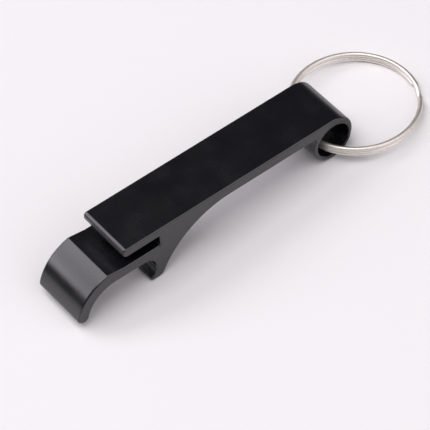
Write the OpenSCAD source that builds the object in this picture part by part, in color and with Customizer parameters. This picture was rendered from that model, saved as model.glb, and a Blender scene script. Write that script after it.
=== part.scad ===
// Keychain bottle opener: a slice of one aluminium extrusion with a two-turn split ring through its eye.
//
// Frame: +X runs along the handle to the ring, Y across the slice, +Z up. The opener lies as on a table,
// on its hook and its eye, and z = 0 is the table. The origin is under the middle of the whole object.
// The profile is drawn in its own x, y plane: x = 0 at the front of the handle plate, y = 0 at its top.

/* [Slice] */
// Length of the slice over the claw and the eye
overall_l = 63; // [60:0.5:66]
// Width of the slice across the profile
slice_w = 12; // [8:0.5:16]

/* [Handle] */
// Thickness of the handle plate
plate_t = 2.3; // [1.8:0.1:2.6]
// Thickness of the lip that hangs over the tab slot
lip_t = 1.95; // [1.8:0.05:2.2]
// Height of the tab slot
slot_h = 2.35; // [1.5:0.05:2.4]
// Depth of the tab slot behind the lip
slot_depth = 7.9; // [6:0.1:8.5]
// Radius of the concave web under the handle
web_r = 17.6; // [17.2:0.1:17.8]
// Distance from the front of the lip to the top of the web's curve
web_x = 23.85; // [23.7:0.05:24.1]

/* [Claw and hook] */
// Radius of the claw's outer face
claw_r = 9.7; // [9.55:0.05:9.9]
// Radius of the claw's inner face
jaw_r = 6.45; // [6.3:0.05:6.6]
// Distance between the centres of the claw's two faces
jaw_shift = 0.84; // [0.7:0.01:0.9]
// Angle of the line through the claw's two centres and its tip
claw_end = 164.4; // [160:0.2:167]
// Thickness of the arm between the slot and the jaw
arm_t = 2.2; // [2:0.05:2.5]
// Radius of the hollow in front of the hook
notch_r = 2.6; // [2.4:0.05:2.8]
// Depth of the hook's point below the plate's top
hook_depth = 12.3; // [12.15:0.05:12.45]
// Radius of the hook's point
point_r = 0.55; // [0.4:0.05:0.6]
// Radius of the hook's heel
heel_r = 1.6; // [1.3:0.05:1.9]

/* [Eye] */
// Radius of the hole in the eye
eye_bore_r = 3.6; // [3.4:0.05:3.7]
// Radius of the eye's rounded back, where the plate turns down
crown_r = 4.5; // [4.4:0.05:4.6]
// Radius of the eye's lower wall
eye_r = 4.4; // [4.35:0.05:4.5]

/* [Split ring] */
// Outer diameter of the ring
ring_od = 25.3; // [23:0.1:28]
// Diameter of the ring's wire
wire_d = 0.95; // [0.8:0.05:1.1]
// Clearance between the ring's wire and the wall of the eye's hole
ring_play = 0.1; // [0.05:0.05:0.25]
// Direction of the ring's two ends, seen from above
ring_ends_at = -25; // [-60:5:60]

/* [Hidden] */
$fn = 96;

// Largest gap between an arc of the outline and its chords
arc_gap = 0.004;

// Stations and levels of the profile
lip_x = -0.45;
claw_reach = 10.85;
crease_x = -4.2;
lip_top_r = 0.75;
lip_low_r = 0.8;
slot_corner_r = 0.35;
lip_top_c = [lip_x + lip_top_r, -lip_top_r];
lip_low_c = [lip_x + lip_low_r, lip_low_r - lip_t];
slot_x = lip_x + slot_depth;
slot_top = -lip_t;
arm_top = slot_top - slot_h;
arm_low = arm_top - arm_t;

// Eye: its back end and its hole
eye_end = lip_x + overall_l - claw_reach;
eye_y = -5.3;
eye_inset = 4.6;
bore_inset = 4.4;
crown_c = [eye_end - crown_r, -crown_r];
eye_c = [eye_end - eye_inset, eye_y];
bore_c = [eye_end - bore_inset, eye_y];
crook_r = 0.6;
crook_c = [eye_c.x - sqrt(pow(eye_r + crook_r, 2) - pow(eye_c.y + plate_t + crook_r, 2)), -plate_t - crook_r];
crown_end = belt_angle(crown_c, crown_r, eye_c, eye_r);

// Claw: two faces struck from two centres that lie in line with the rounded tip
claw_tip_r = (claw_r - jaw_r - jaw_shift) / 2;
claw_x = eye_end - overall_l + claw_tip_r - (claw_r - claw_tip_r) * cos(claw_end);
claw_c = [claw_x, arm_low - jaw_r - jaw_shift * sin(claw_end)];
jaw_c = claw_c + jaw_shift * [cos(claw_end), sin(claw_end)];
claw_tip_c = claw_c + (claw_r - claw_tip_r) * [cos(claw_end), sin(claw_end)];

// Hook: the web's curve behind it, its heel and its point with a flat between them, and the hollow in front
hook_flat = 1.195;
hook_span = 1.7;
web_c = [lip_x + web_x, -plate_t - web_r];
heel_y = heel_r - hook_depth;
heel_c = [web_c.x - sqrt(pow(web_r + heel_r, 2) - pow(heel_y - web_c.y, 2)), heel_y];
point_c = [heel_c.x - hook_flat, point_r - hook_depth];
notch_y = arm_low - notch_r;
// The hollow stays far enough in front of the point that the two circles touch at most
notch_gap = sqrt(max(pow(hook_span, 2), pow(notch_r + point_r, 2) - pow(notch_y - point_c.y, 2)));
notch_c = [point_c.x - notch_gap, notch_y];
hook_join = cross_angle(point_c, point_r, notch_c, notch_r);

// How the opener lies: the slope of the line that touches its heel and its eye from below
rest_span = norm(eye_c - heel_c);
rest_slope = atan2(eye_c.y - heel_c.y, eye_c.x - heel_c.x) - asin((eye_r - heel_r) / rest_span);
laid_eye = turned(eye_c, -rest_slope);
laid_bore = turned(bore_c, -rest_slope);
laid_tip = turned(claw_tip_c, -rest_slope);
lift = eye_r - laid_eye.y;
bore_z = laid_bore.y + lift;

// Split ring: two turns. The lower one touches the table at the far end, and the ring is pushed in until it
// leans on the front wall of the eye's hole at the near end.
wire_r = wire_d / 2;
ring_set = 2.43;
turn_gap = 0.05;
turn_rise = (wire_d + turn_gap) / 2;
ring_r = ring_od / 2 - wire_r;
ring_near_z = bore_z - sqrt(pow(eye_bore_r - wire_r - ring_play, 2) - pow(ring_set, 2)) + turn_rise;
ring_far_z = turn_rise + wire_r;
ring_droop = asin((ring_near_z - ring_far_z) / (2 * ring_r));
ring_z = (ring_near_z + ring_far_z) / 2;
ring_x = laid_bore.x - ring_set + ring_r;
// Degrees between a wire end and the jog, half the jog's span, and the wire's facets
ends_gap = 3;
jog = 8;
wire_sides = 10;
wire_step = 6;

// Middle of the whole object, which comes to x = 0
low_x = laid_tip.x - claw_tip_r;
high_x = ring_x + ring_r * cos(ring_droop) + turn_rise * sin(ring_droop) + wire_r;
mid_x = (low_x + high_x) / 2;

black = [0.13, 0.13, 0.14];
nickel = [0.78, 0.76, 0.74];

function turned(p, a) = [p.x * cos(a) - p.y * sin(a), p.x * sin(a) + p.y * cos(a)];
// Direction from one point to another
function bearing(a, b) = atan2(b.y - a.y, b.x - a.x);
// Normal of the straight line that touches two circles on their outer side, seen from above a to b
function belt_angle(a, ra, b, rb) = bearing(a, b) + acos((ra - rb) / norm(b - a));
// Normal of the straight line that passes between two circles, where it touches the first one
function cross_angle(a, ra, b, rb) = bearing(a, b) + acos(min(1, (ra + rb) / norm(b - a)));
// Points of an arc about c from one angle to another, either way round
function arc(c, r, from, to) =
    let (n = ceil(abs(to - from) / (2 * acos(1 - arc_gap / r))))
    [for (i = [0:n]) let (a = from + (to - from) * i / n) c + r * [cos(a), sin(a)]];

// The closed outline of the slice: arcs in their order round the profile, joined by straight runs
function outline() = concat(
    // along the top: the lip's nose, then the plate's rounded back
    arc(lip_top_c, lip_top_r, 180, 90),
    arc(crown_c, crown_r, 90, crown_end),
    // round the eye and through the crook under the plate
    arc(eye_c, eye_r, crown_end, bearing(eye_c, crook_c) - 360),
    arc(crook_c, crook_r, bearing(crook_c, eye_c), 90),
    // the web's curve, the hook's heel and point, and the hollow in front of it
    arc(web_c, web_r, 90, bearing(web_c, heel_c)),
    arc(heel_c, heel_r, bearing(heel_c, web_c), -90),
    arc(point_c, point_r, -90, hook_join - 360),
    arc(notch_c, notch_r, hook_join - 180, 90),
    // the jaw, the claw's tip and its outer face up to the crease
    arc(jaw_c, jaw_r, 90, claw_end),
    arc(claw_tip_c, claw_tip_r, claw_end - 180, claw_end - 360),
    arc(claw_c, claw_r, claw_end, acos((crease_x - claw_c.x) / claw_r)),
    // down the arm's shoulder to the mouth of the tab slot, and the slot
    [[lip_x, arm_top]],
    arc([slot_x - slot_corner_r, arm_top + slot_corner_r], slot_corner_r, -90, 0),
    arc([slot_x - slot_corner_r, slot_top - slot_corner_r], slot_corner_r, 0, 90),
    arc(lip_low_c, lip_low_r, -90, -180));

module opener_body() {
    color(black)
        translate([-mid_x, 0, lift])
            rotate([90, 0, 0])
                linear_extrude(slice_w, center = true)
                    rotate(-rest_slope)
                        difference() {
                            polygon(outline());
                            translate(bore_c) circle(eye_bore_r);
                        }
}

// Height of the wire's centre after t turns: the lower layer, a smooth jog, then the upper layer
function jog_share(t) = min(1, max(0, ((t - 1) * 360 + jog) / (2 * jog)));
function wire_height(t) = turn_rise * (1 - 2 * (0.5 + 0.5 * cos(180 * jog_share(t))));
function wire_point(t, side) =
    let (a = ring_ends_at + 360 * t, r = ring_r + wire_r * cos(side), z = wire_height(t) + wire_r * sin(side))
    [r * cos(a), r * sin(a), z];

module split_ring() {
    first = (jog + ends_gap) / 360;
    last = 2 - first;
    steps = ceil((last - first) * 360 / wire_step);
    n = wire_sides;
    points = [for (i = [0:steps], j = [0:n - 1]) wire_point(first + (last - first) * i / steps, 360 * j / n)];
    skin = [for (i = [0:steps - 1], j = [0:n - 1])
                let (k = (j + 1) % n)
                each [[i * n + j, i * n + k, (i + 1) * n + k],
                      [i * n + j, (i + 1) * n + k, (i + 1) * n + j]]];
    first_cap = [for (j = [n - 1:-1:0]) j];
    last_cap = [for (j = [0:n - 1]) steps * n + j];
    color(nickel)
        translate([ring_x - mid_x, 0, ring_z])
            rotate([0, ring_droop, 0])
                polyhedron(points, concat([first_cap], skin, [last_cap]), convexity = 4);
}

opener_body();
split_ring();
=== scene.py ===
"""Keychain bottle opener: a black anodised slice of extrusion with a nickel-plated ring through its eye."""
import math

import bmesh
import bpy
import numpy as np
from mathutils import Matrix, Quaternion, Vector

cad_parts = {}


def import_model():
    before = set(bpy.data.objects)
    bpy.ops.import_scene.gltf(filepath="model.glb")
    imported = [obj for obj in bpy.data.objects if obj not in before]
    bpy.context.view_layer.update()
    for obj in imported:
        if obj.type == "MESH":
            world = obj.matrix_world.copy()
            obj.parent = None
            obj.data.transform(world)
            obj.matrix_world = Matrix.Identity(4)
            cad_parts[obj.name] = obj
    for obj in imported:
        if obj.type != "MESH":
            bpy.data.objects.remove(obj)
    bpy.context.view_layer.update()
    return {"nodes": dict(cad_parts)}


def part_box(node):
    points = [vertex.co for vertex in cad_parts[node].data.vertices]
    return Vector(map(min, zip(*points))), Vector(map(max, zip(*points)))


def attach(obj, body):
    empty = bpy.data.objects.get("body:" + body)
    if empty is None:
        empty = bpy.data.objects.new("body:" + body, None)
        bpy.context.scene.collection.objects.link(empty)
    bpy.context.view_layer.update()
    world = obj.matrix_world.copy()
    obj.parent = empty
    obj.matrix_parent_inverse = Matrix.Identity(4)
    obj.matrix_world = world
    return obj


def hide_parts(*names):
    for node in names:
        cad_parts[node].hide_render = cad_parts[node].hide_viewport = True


MM = 0.001

# Least cosine between a face's normal and a direction at which the face counts as looking along it
FACING = 0.999

# Slice: the rounding of its sawn edges, and how finely that and the hole are cut
EDGE_ROUND = 0.36 * MM
EDGE_STEPS = 5
BORE_POINTS = 128

# A corner of the outline that turns by more than CREASE_TURN between two runs longer than CREASE_RUN
# gets a flat that starts and ends CREASE_CUT away from it
CREASE_TURN = math.radians(9)
CREASE_RUN = 0.3 * MM
CREASE_CUT = 0.07 * MM

# Split ring: two turns of wire, as its CAD node has them, with rounded ends
WIRE_D = 0.95 * MM
TURN_GAP = 0.05 * MM
ENDS_AT = math.radians(-25)
ENDS_GAP = math.radians(3)
JOG = math.radians(8)
WIRE_SIDES = 28
WIRE_STEP = math.radians(1.5)
END_ROUND = 0.16 * MM
END_STEPS = 4
WIRE_R = WIRE_D / 2
TURN_RISE = (WIRE_D + TURN_GAP) / 2

# Black anodising: its die lines, grain and clouds are in waves per metre, and the clouds add their patches
# to the roughness of the die lines
DIE_LINES = (2400, 90, 2400)
BLACK_GRAIN = 9000
BLACK_CLOUDS = 170
BLACK_IOR = 1.7
BLACK_ROUGHNESS = (0.24, 0.26)
BLACK_PATCHES = (-0.02, 0.03)
BLACK_DARK = (0.0030, 0.0031, 0.0048)
BLACK_PALE = (0.0046, 0.0045, 0.0062)
BLACK_WORN = (0.035, 0.035, 0.038)
BLACK_BUMP = 0.004 * MM

# Nickel plating: the drawn lines are stretched along the wire, and the spots are in waves per metre
DRAWN_LINES = (0.5, 60, 1)
NICKEL_SPOTS = 1500
NICKEL_ROUGHNESS = (0.44, 0.52)
NICKEL_PALE = (0.86, 0.82, 0.77)
NICKEL_DULL = (0.79, 0.745, 0.69)
NICKEL_BUMP = 0.006 * MM

# Camera: where it aims, from where, and how much it is rolled
AIM = Vector((-8.867, -5.186, 5.06)) * MM
AZIMUTH = math.radians(-31.325)
ELEVATION = math.radians(51.053)
ROLL = math.radians(-9.01)
DISTANCE = 530.45 * MM
LENS = 247.5
CLIP_START = 10 * MM

# Studio floor, and the dim light that comes from all round
FLOOR_HALF = 1.5
FLOOR_COLOUR = (0.875, 0.863, 0.868)
FLOOR_ROUGHNESS = 0.7
FLOOR_SPECULAR = 0.2
WORLD_COLOUR = (0.97, 0.95, 1.0)
WORLD_STRENGTH = 0.05

# Softboxes, all at one distance from the object: name, azimuth, elevation and roll in degrees,
# width and height in metres, watts and colour
BOX_DISTANCE = 1.0
SOFTBOXES = (
    ("window", 209, 39, -40, 1.15, 0.4, 5.1, (1.0, 0.95, 1.02)),
    ("overhead", 266, 77, 0, 0.85, 0.65, 6.1, (1.0, 0.98, 0.985)),
    ("front", 25, 39, 0, 1.2, 1.1, 5.5, (1.0, 0.955, 1.01)),
)


# ---------------------------------------------------------------- outlines

def boundary_loops(obj, normal):
    """Closed loops of points, longest first, round the faces of a CAD node that look along normal."""
    key = [tuple(round(c / MM, 4) for c in v.co) for v in obj.data.vertices]
    edges = set()
    for face in obj.data.polygons:
        if face.normal.dot(normal) < FACING:
            continue
        corners = [key[i] for i in face.vertices]
        for a, b in zip(corners, corners[1:] + corners[:1]):
            if (b, a) in edges:
                edges.remove((b, a))
            else:
                edges.add((a, b))
    step = dict(edges)
    loops = []
    while step:
        start, here = step.popitem()
        loop = [start]
        while here != start:
            loop.append(here)
            here = step.pop(here)
        loops.append(np.array(loop) * MM)
    return sorted(loops, key=len, reverse=True)


def cut_creases(loop):
    """The outline with a tiny flat in place of each sharp corner between two long runs."""
    points = []
    for before, here, after in zip(np.roll(loop, 1, 0), loop, np.roll(loop, -1, 0)):
        run_in, run_out = here - before, after - here
        length_in, length_out = np.linalg.norm(run_in), np.linalg.norm(run_out)
        run_in, run_out = run_in / length_in, run_out / length_out
        turn = math.acos(min(1.0, float(run_in @ run_out)))
        if turn > CREASE_TURN and min(length_in, length_out) > CREASE_RUN:
            points += [here - CREASE_CUT * run_in, here + CREASE_CUT * run_out]
        else:
            points.append(here)
    return np.array(points)


def even_circle(loop):
    """The hole's outline as a circle of even points, wound so that the metal is on its left."""
    low, high = loop.min(0), loop.max(0)
    centre = (low + high) / 2
    radius = (high - low).mean() / 2
    angle = -2 * math.pi * np.arange(BORE_POINTS) / BORE_POINTS
    return centre + radius * np.stack([np.cos(angle), np.sin(angle)], 1)


def outline_normals(loop):
    """Outward shading normals and miters at the points of an x, z outline with the metal on its left."""
    run = np.roll(loop, -1, 0) - loop
    length = np.linalg.norm(run, axis=1)
    out = np.stack([run[:, 1], -run[:, 0]], 1) / length[:, None]
    out_before, length_before = np.roll(out, 1, 0), np.roll(length, 1)
    shade = out * length[:, None] + out_before * length_before[:, None]
    shade /= np.linalg.norm(shade, axis=1)[:, None]
    miter = out + out_before
    miter /= 0.5 * (miter * miter).sum(1)[:, None]
    return shade, miter


# ---------------------------------------------------------------- meshes

def new_object(name, data):
    obj = bpy.data.objects.new(name, data)
    bpy.context.scene.collection.objects.link(obj)
    return obj


def finished_mesh(name, bm):
    mesh = bpy.data.meshes.new(name)
    bm.to_mesh(mesh)
    bm.free()
    return mesh


def rim(bm, ring):
    """The edges round a closed ring of vertices."""
    return [bm.edges.get((a, b)) for a, b in zip(ring, ring[1:] + ring[:1])]


def add_skin(bm, loop, half, normals):
    """Adds the skin across the slice along one outline, its sawn edges rounded, and returns its two rims."""
    edge_layer = bm.verts.layers.float["edge"]
    quarter = np.linspace(math.pi / 2, 0, EDGE_STEPS + 1)
    shade, miter = outline_normals(loop)
    rings = []
    for side, a in [(-1, a) for a in quarter] + [(1, a) for a in quarter[::-1]]:
        inset = EDGE_ROUND * (1 - math.cos(a))
        y = side * (half - EDGE_ROUND * (1 - math.sin(a)))
        ring = []
        for (x, z), (sx, sz), (mx, mz) in zip(loop, shade, miter):
            v = bm.verts.new((x - inset * mx, y, z - inset * mz))
            v[edge_layer] = math.sin(2 * a)
            ring.append(v)
            normals.append((sx * math.cos(a), side * math.sin(a), sz * math.cos(a)))
        rings.append(ring)
    for near, far in zip(rings, rings[1:]):
        for i in range(len(loop)):
            j = (i + 1) % len(loop)
            bm.faces.new((near[i], near[j], far[j], far[i]))
    return rim(bm, rings[0]), rim(bm, rings[-1])


def opener_mesh(node):
    """The slice with its sawn edges rounded, struck from the outline and the hole of the CAD node."""
    outer, bore = boundary_loops(node, Vector((0, -1, 0)))
    half = -outer[0, 1]
    bm = bmesh.new()
    bm.verts.layers.float.new("edge")
    normals = []
    outer_rims = add_skin(bm, cut_creases(outer[:, [0, 2]]), half, normals)
    bore_rims = add_skin(bm, even_circle(bore[:, [0, 2]]), half, normals)
    for outer_rim, bore_rim in zip(outer_rims, bore_rims):
        bmesh.ops.triangle_fill(bm, edges=outer_rim + bore_rim, use_beauty=True)
    bmesh.ops.recalc_face_normals(bm, faces=bm.faces)
    for face in bm.faces:
        face.smooth = True
    mesh = finished_mesh("opener", bm)
    mesh.normals_split_custom_set_from_vertices(normals)
    return mesh


def wire_stations(radius):
    """The turn and the wire's radius at each station along the wire, thinner round its two ends."""
    first = JOG + ENDS_GAP
    last = 4 * math.pi - first
    count = round((last - first) / WIRE_STEP)
    stations = [(first + (last - first) * i / count, WIRE_R) for i in range(count + 1)]
    for step in range(1, END_STEPS + 1):
        a = math.pi / 2 * step / END_STEPS
        along = END_ROUND * math.sin(a) / radius
        thin = WIRE_R - END_ROUND * (1 - math.cos(a))
        stations = [(first - along, thin)] + stations + [(last + along, thin)]
    return stations


def wire_points(turn, wire_r, radius):
    """Points round the wire at one turn: the lower layer, a smooth jog, then the upper layer."""
    share = min(1.0, max(0.0, (turn - 2 * math.pi + JOG) / (2 * JOG)))
    a = ENDS_AT + turn
    out = Vector((math.cos(a), math.sin(a), 0))
    middle = radius * out - Vector((0, 0, TURN_RISE * math.cos(math.pi * share)))
    sides = [2 * math.pi * k / WIRE_SIDES for k in range(WIRE_SIDES)]
    return [middle + wire_r * (math.cos(s) * out + Vector((0, 0, math.sin(s)))) for s in sides]


def ring_mesh(low, high):
    """Two turns of round wire that fill the box of the CAD ring, tilted as the ring lies."""
    radius = (high.y - low.y) / 2 - WIRE_R
    tilt = math.asin((high.z - low.z - 2 * (TURN_RISE + WIRE_R)) / (2 * radius))
    place = Matrix.Translation((low + high) / 2) @ Matrix.Rotation(tilt, 4, "Y")
    stations = wire_stations(radius)
    bm = bmesh.new()
    uv = bm.loops.layers.uv.new("wire")
    rings = [[bm.verts.new(place @ p) for p in wire_points(turn, r, radius)] for turn, r in stations]
    lengths = [turn * radius / MM for turn, _ in stations]
    for i, (near, far) in enumerate(zip(rings, rings[1:])):
        for k in range(WIRE_SIDES):
            j = (k + 1) % WIRE_SIDES
            face = bm.faces.new((near[k], far[k], far[j], near[j]))
            corners = ((i, k), (i + 1, k), (i + 1, k + 1), (i, k + 1))
            for loop, (station, side) in zip(face.loops, corners):
                loop[uv].uv = (lengths[station], side / WIRE_SIDES)
    bm.faces.new(reversed(rings[0]))
    bm.faces.new(rings[-1])
    bmesh.ops.recalc_face_normals(bm, faces=bm.faces)
    for face in bm.faces:
        face.smooth = len(face.verts) == 4
    return finished_mesh("split_ring_wire", bm)


# ---------------------------------------------------------------- materials

class Nodes:
    """A material's node tree, with short calls for the nodes that these finishes use."""

    def __init__(self, name):
        self.material = bpy.data.materials.new(name)
        self.material.use_nodes = True
        self.tree = self.material.node_tree
        self.shader = self.tree.nodes["Principled BSDF"]

    def add(self, kind, **settings):
        node = self.tree.nodes.new(kind)
        for name, value in settings.items():
            setattr(node, name, value)
        return node

    def link(self, out, into):
        self.tree.links.new(out, into)

    def noise(self, vector, scale, detail=2.0, roughness=0.5):
        node = self.add("ShaderNodeTexNoise")
        node.inputs["Scale"].default_value = scale
        node.inputs["Detail"].default_value = detail
        node.inputs["Roughness"].default_value = roughness
        self.link(vector, node.inputs["Vector"])
        return node.outputs["Fac"]

    def stretched(self, vector, scale):
        node = self.add("ShaderNodeMapping")
        node.inputs["Scale"].default_value = scale
        self.link(vector, node.inputs["Vector"])
        return node.outputs["Vector"]

    def remap(self, value, low, high, to_low, to_high):
        node = self.add("ShaderNodeMapRange")
        for name, number in zip(("From Min", "From Max", "To Min", "To Max"), (low, high, to_low, to_high)):
            node.inputs[name].default_value = number
        self.link(value, node.inputs["Value"])
        return node.outputs["Result"]

    def math(self, operation, a, b):
        node = self.add("ShaderNodeMath", operation=operation)
        self.link(a, node.inputs[0])
        self.link(b, node.inputs[1])
        return node.outputs[0]

    def mix(self, share, a, b):
        """A blend from a to b by the share. Each of a and b is a colour or another node's output."""
        node = self.add("ShaderNodeMix", data_type="RGBA")
        self.link(share, node.inputs[0])
        for socket, value in ((node.inputs[6], a), (node.inputs[7], b)):
            if isinstance(value, tuple):
                socket.default_value = (*value, 1)
            else:
                self.link(value, socket)
        return node.outputs[2]

    def bump(self, height, distance, strength, under=None):
        node = self.add("ShaderNodeBump")
        node.inputs["Strength"].default_value = strength
        node.inputs["Distance"].default_value = distance
        self.link(height, node.inputs["Height"])
        if under is not None:
            self.link(under, node.inputs["Normal"])
        return node.outputs["Normal"]


def black_anodised():
    """Tumbled black anodising: a little worn where the sawn edges are rounded, with faint die lines."""
    n = Nodes("black_anodised")
    n.shader.inputs["IOR"].default_value = BLACK_IOR
    place = n.add("ShaderNodeTexCoord").outputs["Object"]
    # Die lines run across the slice on the skin, and the sawn faces show them end on as a fine grain
    lines = n.noise(n.stretched(place, DIE_LINES), 1.0, 3.0, 0.6)
    grain = n.noise(place, BLACK_GRAIN)
    cloud = n.noise(place, BLACK_CLOUDS, 3.0)
    edge = n.add("ShaderNodeAttribute", attribute_name="edge").outputs["Fac"]
    tint = n.mix(n.remap(cloud, 0.35, 0.65, 0, 1), BLACK_DARK, BLACK_PALE)
    worn = n.math("MULTIPLY", n.remap(edge, 0.3, 1.0, 0, 1), n.remap(cloud, 0.4, 0.7, 0.1, 0.5))
    n.link(n.mix(worn, tint, BLACK_WORN), n.shader.inputs["Base Color"])
    patches = n.remap(cloud, 0.35, 0.65, *BLACK_PATCHES)
    rough = n.math("ADD", n.remap(lines, 0.3, 0.7, *BLACK_ROUGHNESS), patches)
    n.link(rough, n.shader.inputs["Roughness"])
    tumbled = n.bump(grain, BLACK_BUMP, 0.3)
    n.link(n.bump(lines, BLACK_BUMP, 0.05, tumbled), n.shader.inputs["Normal"])
    return n.material


def nickel_wire():
    """Nickel-plated wire with fine drawn lines along it and slightly duller spots."""
    n = Nodes("nickel_wire")
    n.shader.inputs["Metallic"].default_value = 1.0
    along = n.add("ShaderNodeUVMap", uv_map="wire").outputs["UV"]
    drawn = n.noise(n.stretched(along, DRAWN_LINES), 1.0, 3.0, 0.6)
    spots = n.noise(n.add("ShaderNodeTexCoord").outputs["Object"], NICKEL_SPOTS)
    tint = n.mix(n.remap(spots, 0.35, 0.7, 0, 1), NICKEL_PALE, NICKEL_DULL)
    n.link(tint, n.shader.inputs["Base Color"])
    n.link(n.remap(drawn, 0.3, 0.7, *NICKEL_ROUGHNESS), n.shader.inputs["Roughness"])
    n.link(n.bump(drawn, NICKEL_BUMP, 0.35), n.shader.inputs["Normal"])
    return n.material


def pale_floor():
    n = Nodes("pale_floor")
    n.shader.inputs["Base Color"].default_value = (*FLOOR_COLOUR, 1)
    n.shader.inputs["Roughness"].default_value = FLOOR_ROUGHNESS
    n.shader.inputs["Specular IOR Level"].default_value = FLOOR_SPECULAR
    return n.material


# ---------------------------------------------------------------- the object

def add_opener(node):
    opener = new_object("opener", opener_mesh(node))
    opener.data.materials.append(black_anodised())
    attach(opener, "opener")
    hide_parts("opener_body")


def add_ring():
    ring = new_object("split_ring_wire", ring_mesh(*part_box("split_ring")))
    ring.data.materials.append(nickel_wire())
    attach(ring, "ring")
    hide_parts("split_ring")


# ---------------------------------------------------------------- the studio

def back_of(azimuth, elevation):
    """Direction from the object to a camera or light. Azimuth 0 is in front, at -Y."""
    flat = math.cos(elevation)
    return Vector((math.sin(azimuth) * flat, -math.cos(azimuth) * flat, math.sin(elevation)))


def add_floor():
    bm = bmesh.new()
    bmesh.ops.create_grid(bm, x_segments=1, y_segments=1, size=FLOOR_HALF)
    floor = new_object("floor", finished_mesh("floor", bm))
    floor.data.materials.append(pale_floor())


def add_softbox(name, azimuth, elevation, roll, width, height, watts, colour):
    light = bpy.data.lights.new(name, "AREA")
    light.shape = "RECTANGLE"
    light.size, light.size_y = width, height
    light.energy = watts
    light.color = colour
    obj = new_object(name, light)
    back = back_of(math.radians(azimuth), math.radians(elevation))
    turn = back.to_track_quat("Z", "Y") @ Quaternion((0, 0, 1), math.radians(roll))
    obj.matrix_world = Matrix.Translation(BOX_DISTANCE * back) @ turn.to_matrix().to_4x4()


def add_world():
    world = bpy.data.worlds.new("studio")
    bpy.context.scene.world = world
    world.use_nodes = True
    background = world.node_tree.nodes["Background"]
    background.inputs["Color"].default_value = (*WORLD_COLOUR, 1)
    background.inputs["Strength"].default_value = WORLD_STRENGTH


def add_camera():
    camera = new_object("camera", bpy.data.cameras.new("camera"))
    back = back_of(AZIMUTH, ELEVATION)
    level = Vector((0, 0, 1)).cross(back).normalized()
    upright = back.cross(level)
    right = math.cos(ROLL) * level + math.sin(ROLL) * upright
    turn = Matrix((right, back.cross(right), back)).transposed()
    camera.matrix_world = Matrix.Translation(AIM + DISTANCE * back) @ turn.to_4x4()
    camera.data.lens = LENS
    camera.data.clip_start = CLIP_START
    bpy.context.scene.camera = camera


def main():
    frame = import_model()
    bpy.context.scene.view_settings.view_transform = "Standard"
    add_opener(frame["nodes"]["opener_body"])
    add_ring()
    add_floor()
    for softbox in SOFTBOXES:
        add_softbox(*softbox)
    add_world()
    add_camera()


main()
